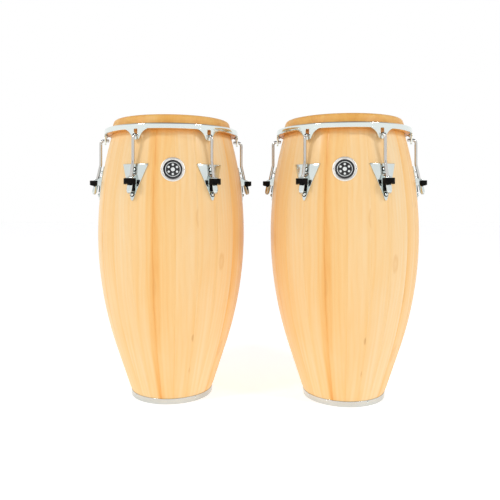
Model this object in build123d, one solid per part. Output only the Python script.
from build123d import *
import os
from math import asin, cos, pi, radians, sin, sqrt, tan

# A pair of stave-built conga drums with rawhide heads. Millimetres, +Z up, floor at Z 0.
# Each drum is drawn about its own axis with its badge towards -Y, then stood in the pair.

# The pair
DRUM_SPACING = 484.0      # between the two drums' axes
DRUM_STAGGER = 20.0       # the right drum stands this much further forward
TOE_IN = 8.5              # degrees that each drum is turned towards the middle

# Shell: staves bowed to one long arc, then a straight tapered foot
DRUM_HEIGHT = 762.0       # floor to playing surface
BELLY_RADIUS = 204.0      # outside, at the fattest point
BELLY_DROP = 312.0        # playing surface down to the fattest point
BOW_RADIUS = 1000.0       # of the staves' long curve
BOW_LENGTH = 312.0        # fattest point down to where the bow runs straight
WALL = 12.0
STAVES = 22
SEAM_OFFSET = 2.0         # degrees from the badge to the nearest glue joint
BOW_STATIONS = 9          # turned stations along the bow
BEARING_CHAMFER = 3.0     # of the edge that carries the skin

# Head: skin cup drawn over the shell's edge and tucked round a flat flesh hoop
SKIN = 2.5
SKIN_FIT = 1.8            # between the skin's collar and the wood
SHOULDER_RADIUS = 6.0     # where the skin turns over the edge
SHOULDER_STEPS = 3
HOOP_WIDTH = 9.0
HOOP_HEIGHT = 6.0
HOOP_TOP_DROP = 31.2      # playing surface down to the hoop's top

# Rim: soft-edged counter hoop with six slotted ears
LUGS = 6
RIM_WALL = 3.5
RIM_BAND = 14.0           # height of the plain band
RIM_TOP_DROP = 26.0       # playing surface down to the rim's top
RIM_FIT = 2.0             # between the band and the skin's hem
RIM_LIP_FIT = 0.6         # between the lip and the skin's collar
RIM_LIP_FALL = 2.5        # the lip's top slopes down this much
RIM_ROLL = 4.5            # bevel of the rolled upper edge
RIM_GAP = 0.3             # lip to flesh hoop
EAR_DROP = 27.5           # band's lower edge down to the ear's tip
EAR_FLARE = 33.0          # half width where the ear leaves the band
EAR_WAIST = 15.0          # half width half way down
EAR_TIP = 10.6            # half width at the tip
SLOT_SIDE = 1.2           # beside the hook's rod
SLOT_HEAD = 2.5           # slot's top above the band's lower edge

# Lug hooks and nuts
ROD = 8.0
HOOK_BEND = 9.0           # centreline radius of the hook's bend
BEND_STEPS = 4            # mitres round the bend
HOOK_STANDOFF = 11.5      # rim's outside to the upright rod's centreline
HOOK_REACH = 8.0          # nose past the ear's inner face
HOOK_DROP = 55.0          # playing surface down to the nose's centreline
KINK_DROP = 122.0         # playing surface down to where the rod splays
SPLAY = 12.5              # degrees off vertical
ROD_TAIL = 2.0            # rod that shows below the nut
ROD_CLEARANCE = 0.4       # round the rod, in the receiver and the nut
SLOT_CLEARANCE = 0.3      # nose to the slot's lower edge
NUT_ACROSS = 13.0
NUT_HEIGHT = 25.4
NUT_TAPER = 6.0           # length of the nut's tapered lower end
NUT_TIP = 10.4            # diameter at its lower end
NUT_GAP = 0.3
NUT_CLEARANCE = 1.0       # round the nut, under the shell protector

# Side plates with their receivers and rubber shell protectors
PLATE_TOP_DROP = 129.4    # playing surface down to the plate's top
PLATE_LENGTH = 92.6
PLATE_TOP_WIDTH = 74.0
PLATE_TIP_WIDTH = 10.0
PLATE_THICKNESS = 3.0
SEAT_DROP = 178.0         # playing surface down to the nut's seat, on the rod's centreline
RECEIVER_HEIGHT = 15.0    # seat up to the receiver's flat top
RECEIVER_WIDTH = 18.0
RECEIVER_NOSE = 5.4       # rod's centreline at the seat out to the receiver's nose
RECEIVER_LAND = 8.0       # depth of its flat top
RECEIVER_RISE = 14.0      # the web climbs this much towards the plate
BUMPER_WALL = 12.0        # rubber in front of the receiver's nose
BUMPER_SIDE = 5.8         # rubber beside the receiver
BUMPER_GRIP = 8.5         # its arms reach back this far from the nose
BUMPER_HEIGHT = 15.2
BUMPER_SKIRT = 4.0        # its lower edge hangs this far below the seat

# Foot band and badge
BAND_HEIGHT = 15.0
BAND_WALL = 2.0
BADGE_DROP = 144.0        # playing surface down to the badge's middle
BADGE_RADIUS = 31.0
BADGE_THICKNESS = 1.9
BADGE_RIM = 6.5           # width of its raised rim
BADGE_FIELD = 1.0         # thickness inside the rim

FRONT = -90.0
STAVE_ANGLE = 360 / STAVES
LUG_ANGLES = [k * 360 / LUGS for k in range(LUGS)]
SHELL_TOP = DRUM_HEIGHT - SKIN
BELLY_HEIGHT = DRUM_HEIGHT - BELLY_DROP
TAPER_TOP = BELLY_HEIGHT - BOW_LENGTH
RIM_TOP = DRUM_HEIGHT - RIM_TOP_DROP
BAND_BOTTOM = RIM_TOP - RIM_BAND
HOOP_TOP = DRUM_HEIGHT - HOOP_TOP_DROP
HOOP_BOTTOM = HOOP_TOP - HOOP_HEIGHT
HEM_BOTTOM = HOOP_BOTTOM - SKIN
NOSE_HEIGHT = DRUM_HEIGHT - HOOK_DROP
KINK_HEIGHT = DRUM_HEIGHT - KINK_DROP
SEAT_HEIGHT = DRUM_HEIGHT - SEAT_DROP
PLATE_TOP = DRUM_HEIGHT - PLATE_TOP_DROP
PLATE_TIP = PLATE_TOP - PLATE_LENGTH


def bow_radius(height):
    """Outside radius of the finished curve."""
    centre = BELLY_RADIUS - BOW_RADIUS
    if height >= TAPER_TOP:
        return centre + sqrt(BOW_RADIUS**2 - (height - BELLY_HEIGHT) ** 2)
    across = sqrt(BOW_RADIUS**2 - (TAPER_TOP - BELLY_HEIGHT) ** 2)
    slope = (BELLY_HEIGHT - TAPER_TOP) / across
    return centre + across - slope * (TAPER_TOP - height)


def stations():
    """Heights at which the bow is turned, equally spaced along its arc."""
    low = asin((TAPER_TOP - BELLY_HEIGHT) / BOW_RADIUS)
    high = asin((SHELL_TOP - BELLY_HEIGHT) / BOW_RADIUS)
    step = (high - low) / (BOW_STATIONS - 1)
    return [BELLY_HEIGHT + BOW_RADIUS * sin(low + step * k) for k in range(BOW_STATIONS)]


def wall_line(low, high):
    """Points of the shell's outside from one height up to another."""
    marks = [BAND_HEIGHT] + [mark for mark in stations() if mark > BAND_HEIGHT]

    def on_wall(height):
        for a, b in zip(marks, marks[1:]):
            if height <= b or b == marks[-1]:
                share = (height - a) / (b - a)
                return bow_radius(a) + share * (bow_radius(b) - bow_radius(a))

    heights = [low] + [m for m in marks if low < m < high] + [high]
    return [(on_wall(h), h) for h in heights]


# What the curve gives the pieces that sit on it
BAND_RADIUS = bow_radius(BAND_HEIGHT)
HOOP_INNER = wall_line(HEM_BOTTOM, HOOP_TOP)[0][0] + SKIN_FIT + SKIN
HOOP_OUTER = HOOP_INNER + HOOP_WIDTH
RIM_INNER = HOOP_OUTER + SKIN + RIM_FIT
RIM_RADIUS = RIM_INNER + RIM_WALL
HOOK_RADIUS = RIM_RADIUS + HOOK_STANDOFF


def rod_point(height):
    """Radius of the rod's centreline on its splayed part."""
    return HOOK_RADIUS + (KINK_HEIGHT - height) * tan(radians(SPLAY))


RECEIVER_REACH = rod_point(SEAT_HEIGHT) + RECEIVER_NOSE
BUMPER_REACH = RECEIVER_REACH + BUMPER_WALL
BUMPER_BACK = RECEIVER_REACH - BUMPER_GRIP


def section(points):
    """A closed outline in the plane of the drum's axis, as (radius, height)."""
    return Plane.XZ * make_face(Polyline(*points, close=True))


def ring(points):
    return revolve(section(points), Axis.Z)


def on_shell(outline, rise):
    """Wraps a flat outline, drawn as (across, height), on the wood, facing +X."""
    box = outline.bounding_box()
    inner = wall_line(box.min.Y, box.max.Y)
    outer = [(r + rise, h) for r, h in reversed(inner)]
    skin = Rot(Z=-45) * revolve(section(inner + outer), Axis.Z, 90)
    return skin & extrude(Plane.YZ * outline, 2 * BELLY_RADIUS)


def staves():
    seat = BAND_RADIUS - BAND_WALL
    mouth = bow_radius(SHELL_TOP)
    outer = [(seat, 0), (seat, BAND_HEIGHT)] + wall_line(BAND_HEIGHT, SHELL_TOP - BEARING_CHAMFER)
    outer += [(mouth - BEARING_CHAMFER, SHELL_TOP)]
    inner = [(seat - WALL, 0)] + [(r - WALL, h) for r, h in wall_line(BAND_HEIGHT, SHELL_TOP)]
    spare = 2 * WALL
    turned = revolve(section(outer + [(r - spare, h) for r, h in reversed(inner)]), Axis.Z, STAVE_ANGLE)
    turned = Rot(Z=-STAVE_ANGLE / 2) * turned
    board = section([(r + spare, h) for r, h in reversed(outer)] + inner)
    stave = turned & extrude(board, BELLY_RADIUS, both=True)
    first = FRONT + SEAM_OFFSET + STAVE_ANGLE / 2
    return [Rot(Z=first + k * STAVE_ANGLE) * stave for k in range(STAVES)]


def foot_band():
    inner = BAND_RADIUS - BAND_WALL
    return [ring([(inner, 0), (BAND_RADIUS, 0), (BAND_RADIUS, BAND_HEIGHT), (inner, BAND_HEIGHT)])]


def quarter_bend(corner, radius, steps, turn):
    """Points that replace a right-angled corner with short chords; turn is the corner's outward angle."""
    swing = [turn + 45 - 90 * k / steps for k in range(steps + 1)]
    centre = Vector(corner) - Vector(sqrt(2) * radius, 0).rotate(Axis.Z, turn)
    return [tuple((centre + Vector(radius, 0).rotate(Axis.Z, a)))[:2] for a in swing]


def skin():
    """A cup with its hem turned up round the flesh hoop."""
    edge = bow_radius(SHELL_TOP) + SKIN_FIT
    shoulder = quarter_bend((edge + SKIN, DRUM_HEIGHT), SHOULDER_RADIUS, SHOULDER_STEPS, 45)
    outside = [(0, DRUM_HEIGHT)] + list(shoulder) + [
        (HOOP_INNER, HOOP_TOP), (HOOP_INNER, HOOP_BOTTOM), (HOOP_OUTER, HOOP_BOTTOM), (HOOP_OUTER, HOOP_TOP),
        (HOOP_OUTER + SKIN, HOOP_TOP), (HOOP_OUTER + SKIN, HEM_BOTTOM),
    ]
    inside = [(HOOP_INNER - SKIN, HEM_BOTTOM), (edge, SHELL_TOP), (0, SHELL_TOP)]
    return [ring(outside + inside)]


def flesh_hoop():
    low, high = HOOP_BOTTOM, HOOP_TOP
    return [ring([(HOOP_INNER, low), (HOOP_OUTER, low), (HOOP_OUTER, high), (HOOP_INNER, high)])]


def ear_outline():
    """Tulip-shaped ear, drawn as (across, height)."""
    tip = BAND_BOTTOM - EAR_DROP
    waist = BAND_BOTTOM - EAR_DROP / 2
    neck = tip + EAR_TIP / 2
    top = BAND_BOTTOM
    right = ThreePointArc((EAR_FLARE, top), (EAR_WAIST, waist), (EAR_TIP, neck))
    bottom = ThreePointArc((EAR_TIP, neck), (0, tip), (-EAR_TIP, neck))
    left = ThreePointArc((-EAR_TIP, neck), (-EAR_WAIST, waist), (-EAR_FLARE, top))
    return make_face(Curve() + [right, bottom, left, Line((-EAR_FLARE, top), (EAR_FLARE, top))])


def rim():
    lip = HOOP_INNER + RIM_LIP_FIT
    lip_bottom = HOOP_TOP + RIM_GAP
    band = ring([
        (RIM_RADIUS, BAND_BOTTOM), (RIM_RADIUS, RIM_TOP - RIM_ROLL), (RIM_RADIUS - RIM_ROLL, RIM_TOP),
        (lip, RIM_TOP - RIM_LIP_FALL), (lip, lip_bottom), (RIM_INNER, lip_bottom), (RIM_INNER, BAND_BOTTOM),
    ])
    low = BAND_BOTTOM - EAR_DROP
    skirt = Rot(Z=-45) * revolve(section([
        (RIM_INNER, low), (RIM_RADIUS, low), (RIM_RADIUS, BAND_BOTTOM), (RIM_INNER, BAND_BOTTOM),
    ]), Axis.Z, 90)
    ear = skirt & extrude(Plane.YZ * ear_outline(), 2 * RIM_RADIUS)
    slot_low = NOSE_HEIGHT - ROD / 2 - SLOT_CLEARANCE
    slot_high = BAND_BOTTOM + SLOT_HEAD
    slot = SlotOverall(slot_high - slot_low, ROD + 2 * SLOT_SIDE, rotation=90)
    cut = extrude(Plane.YZ.offset(HOOP_OUTER) * Pos(0, (slot_low + slot_high) / 2) * slot, 2 * HOOK_STANDOFF)
    notched = band - [Rot(Z=angle) * cut for angle in LUG_ANGLES]
    ear -= cut
    return (notched + [Rot(Z=angle) * ear for angle in LUG_ANGLES]).solids()


def splay_frame(height):
    """On the splayed rod's centreline, pointing down along it."""
    down = Vector(sin(radians(SPLAY)), 0, -cos(radians(SPLAY)))
    return Plane((rod_point(height), 0, height), x_dir=(0, 1, 0), z_dir=down)


def hook():
    nose = (RIM_INNER - HOOK_REACH, NOSE_HEIGHT)
    bend = HOOK_BEND / cos(pi / 4 / BEND_STEPS)
    centre = (HOOK_RADIUS - HOOK_BEND, NOSE_HEIGHT - HOOK_BEND)
    turns = [pi / 2 * (1 - (k + 0.5) / BEND_STEPS) for k in range(BEND_STEPS)]
    corners = [(centre[0] + bend * cos(a), centre[1] + bend * sin(a)) for a in turns]
    end = SEAT_HEIGHT - (NUT_GAP + NUT_HEIGHT + ROD_TAIL) * cos(radians(SPLAY))
    route = [nose] + corners + [(HOOK_RADIUS, KINK_HEIGHT), (rod_point(end), end)]
    path = Plane.XZ * Polyline(*route)
    start = Plane(path @ 0, z_dir=path % 0)
    return sweep(start * Circle(ROD / 2), path, transition=Transition.RIGHT)


def plate_with_receiver():
    half_top = PLATE_TOP_WIDTH / 2
    half_tip = PLATE_TIP_WIDTH / 2
    outline = make_face(Polyline(
        (-half_top, PLATE_TOP), (half_top, PLATE_TOP), (half_tip, PLATE_TIP), (-half_tip, PLATE_TIP),
        close=True,
    ))
    outline = fillet(outline.vertices(), half_tip)
    plate = on_shell(outline, PLATE_THICKNESS)
    root = bow_radius(PLATE_TOP)
    top = SEAT_HEIGHT + RECEIVER_HEIGHT

    def on_seat(radius):
        return (radius, SEAT_HEIGHT + (radius - rod_point(SEAT_HEIGHT)) * tan(radians(SPLAY)))

    side = section([
        on_seat(root), (root, top + RECEIVER_RISE), (RECEIVER_REACH - RECEIVER_LAND, top),
        (RECEIVER_REACH, top), on_seat(RECEIVER_REACH),
    ])
    block = extrude(side, RECEIVER_WIDTH / 2, both=True)
    inside = section([(0, 0), (0, DRUM_HEIGHT)] + list(reversed(wall_line(BAND_HEIGHT, SHELL_TOP))))
    block -= Rot(Z=-45) * revolve(inside, Axis.Z, 90)
    bore = splay_frame(SEAT_HEIGHT) * Cylinder(ROD / 2 + ROD_CLEARANCE, 4 * RECEIVER_HEIGHT)
    return plate + block - bore


def bumper():
    low = SEAT_HEIGHT - BUMPER_SKIRT
    half = RECEIVER_WIDTH / 2 + BUMPER_SIDE
    nose = BUMPER_REACH - half
    plan = make_face(Curve() + [
        Line((BUMPER_BACK, half), (BUMPER_BACK, -half)),
        Line((BUMPER_BACK, -half), (nose, -half)),
        ThreePointArc((nose, -half), (BUMPER_REACH, 0), (nose, half)),
        Line((nose, half), (BUMPER_BACK, half)),
    ])
    cap = extrude(Plane.XY.offset(low) * plan, BUMPER_HEIGHT)
    pocket = Pos((BUMPER_BACK + RECEIVER_REACH) / 2, 0, low) * Box(
        RECEIVER_REACH - BUMPER_BACK, RECEIVER_WIDTH, 4 * BUMPER_HEIGHT
    )
    corner = NUT_ACROSS / sqrt(3)
    arch = splay_frame(SEAT_HEIGHT) * Cylinder(corner + NUT_CLEARANCE, 2 * NUT_HEIGHT)
    above = splay_frame(SEAT_HEIGHT) * Pos(0, 0, -NUT_CLEARANCE) * Box(
        4 * corner, 4 * corner, NUT_HEIGHT, align=(Align.CENTER, Align.CENTER, Align.MAX)
    )
    return cap - pocket - (arch - above)


def nut():
    """Long hexagon nut whose lower end is turned to a taper."""
    corner = NUT_ACROSS / sqrt(3)
    blank = extrude(RegularPolygon(NUT_ACROSS / 2, 6, major_radius=False), NUT_HEIGHT)
    turned = ring([
        (0, 0), (corner, 0), (corner, NUT_HEIGHT - NUT_TAPER), (NUT_TIP / 2, NUT_HEIGHT), (0, NUT_HEIGHT)
    ])
    bore = Cylinder(ROD / 2 + ROD_CLEARANCE, 4 * NUT_HEIGHT)
    return splay_frame(SEAT_HEIGHT) * Pos(0, 0, NUT_GAP) * ((blank & turned) - bore)


def badge():
    """Round plate with a raised rim."""
    middle = Pos(0, DRUM_HEIGHT - BADGE_DROP)
    field = Circle(BADGE_RADIUS - BADGE_RIM)
    raised = on_shell(middle * (Circle(BADGE_RADIUS) - field), BADGE_THICKNESS)
    return Rot(Z=FRONT) * (on_shell(middle * field, BADGE_FIELD) + raised)


def drum():
    """Every sub-part of one drum about its own axis, by name."""
    made = {
        "shell": staves(),
        "foot_band": foot_band(),
        "head_skin": skin(),
        "flesh_hoop": flesh_hoop(),
        "rim": rim(),
        "badge": [badge()],
    }
    for name, piece in {"side_plates": plate_with_receiver(), "bumpers": bumper()}.items():
        made[name] = [Rot(Z=angle) * piece for angle in LUG_ANGLES]
    for name, piece in {"lug_hook": hook(), "lug_nut": nut()}.items():
        for number, angle in enumerate(LUG_ANGLES, 1):
            made[f"{name}_{number}"] = [Rot(Z=angle) * piece]
    return made


def main():
    os.makedirs("parts", exist_ok=True)
    pieces = drum()
    for side, hand in (("left", -1), ("right", 1)):
        stand = Pos(hand * DRUM_SPACING / 2, -hand * DRUM_STAGGER / 2) * Rot(Z=-hand * TOE_IN)
        for name, solids in pieces.items():
            placed = [stand * s for piece in solids for s in piece.solids()]
            node = placed[0] if len(placed) == 1 else Compound(children=placed)
            export_step(node, f"parts/{side}_{name}.step")


main()
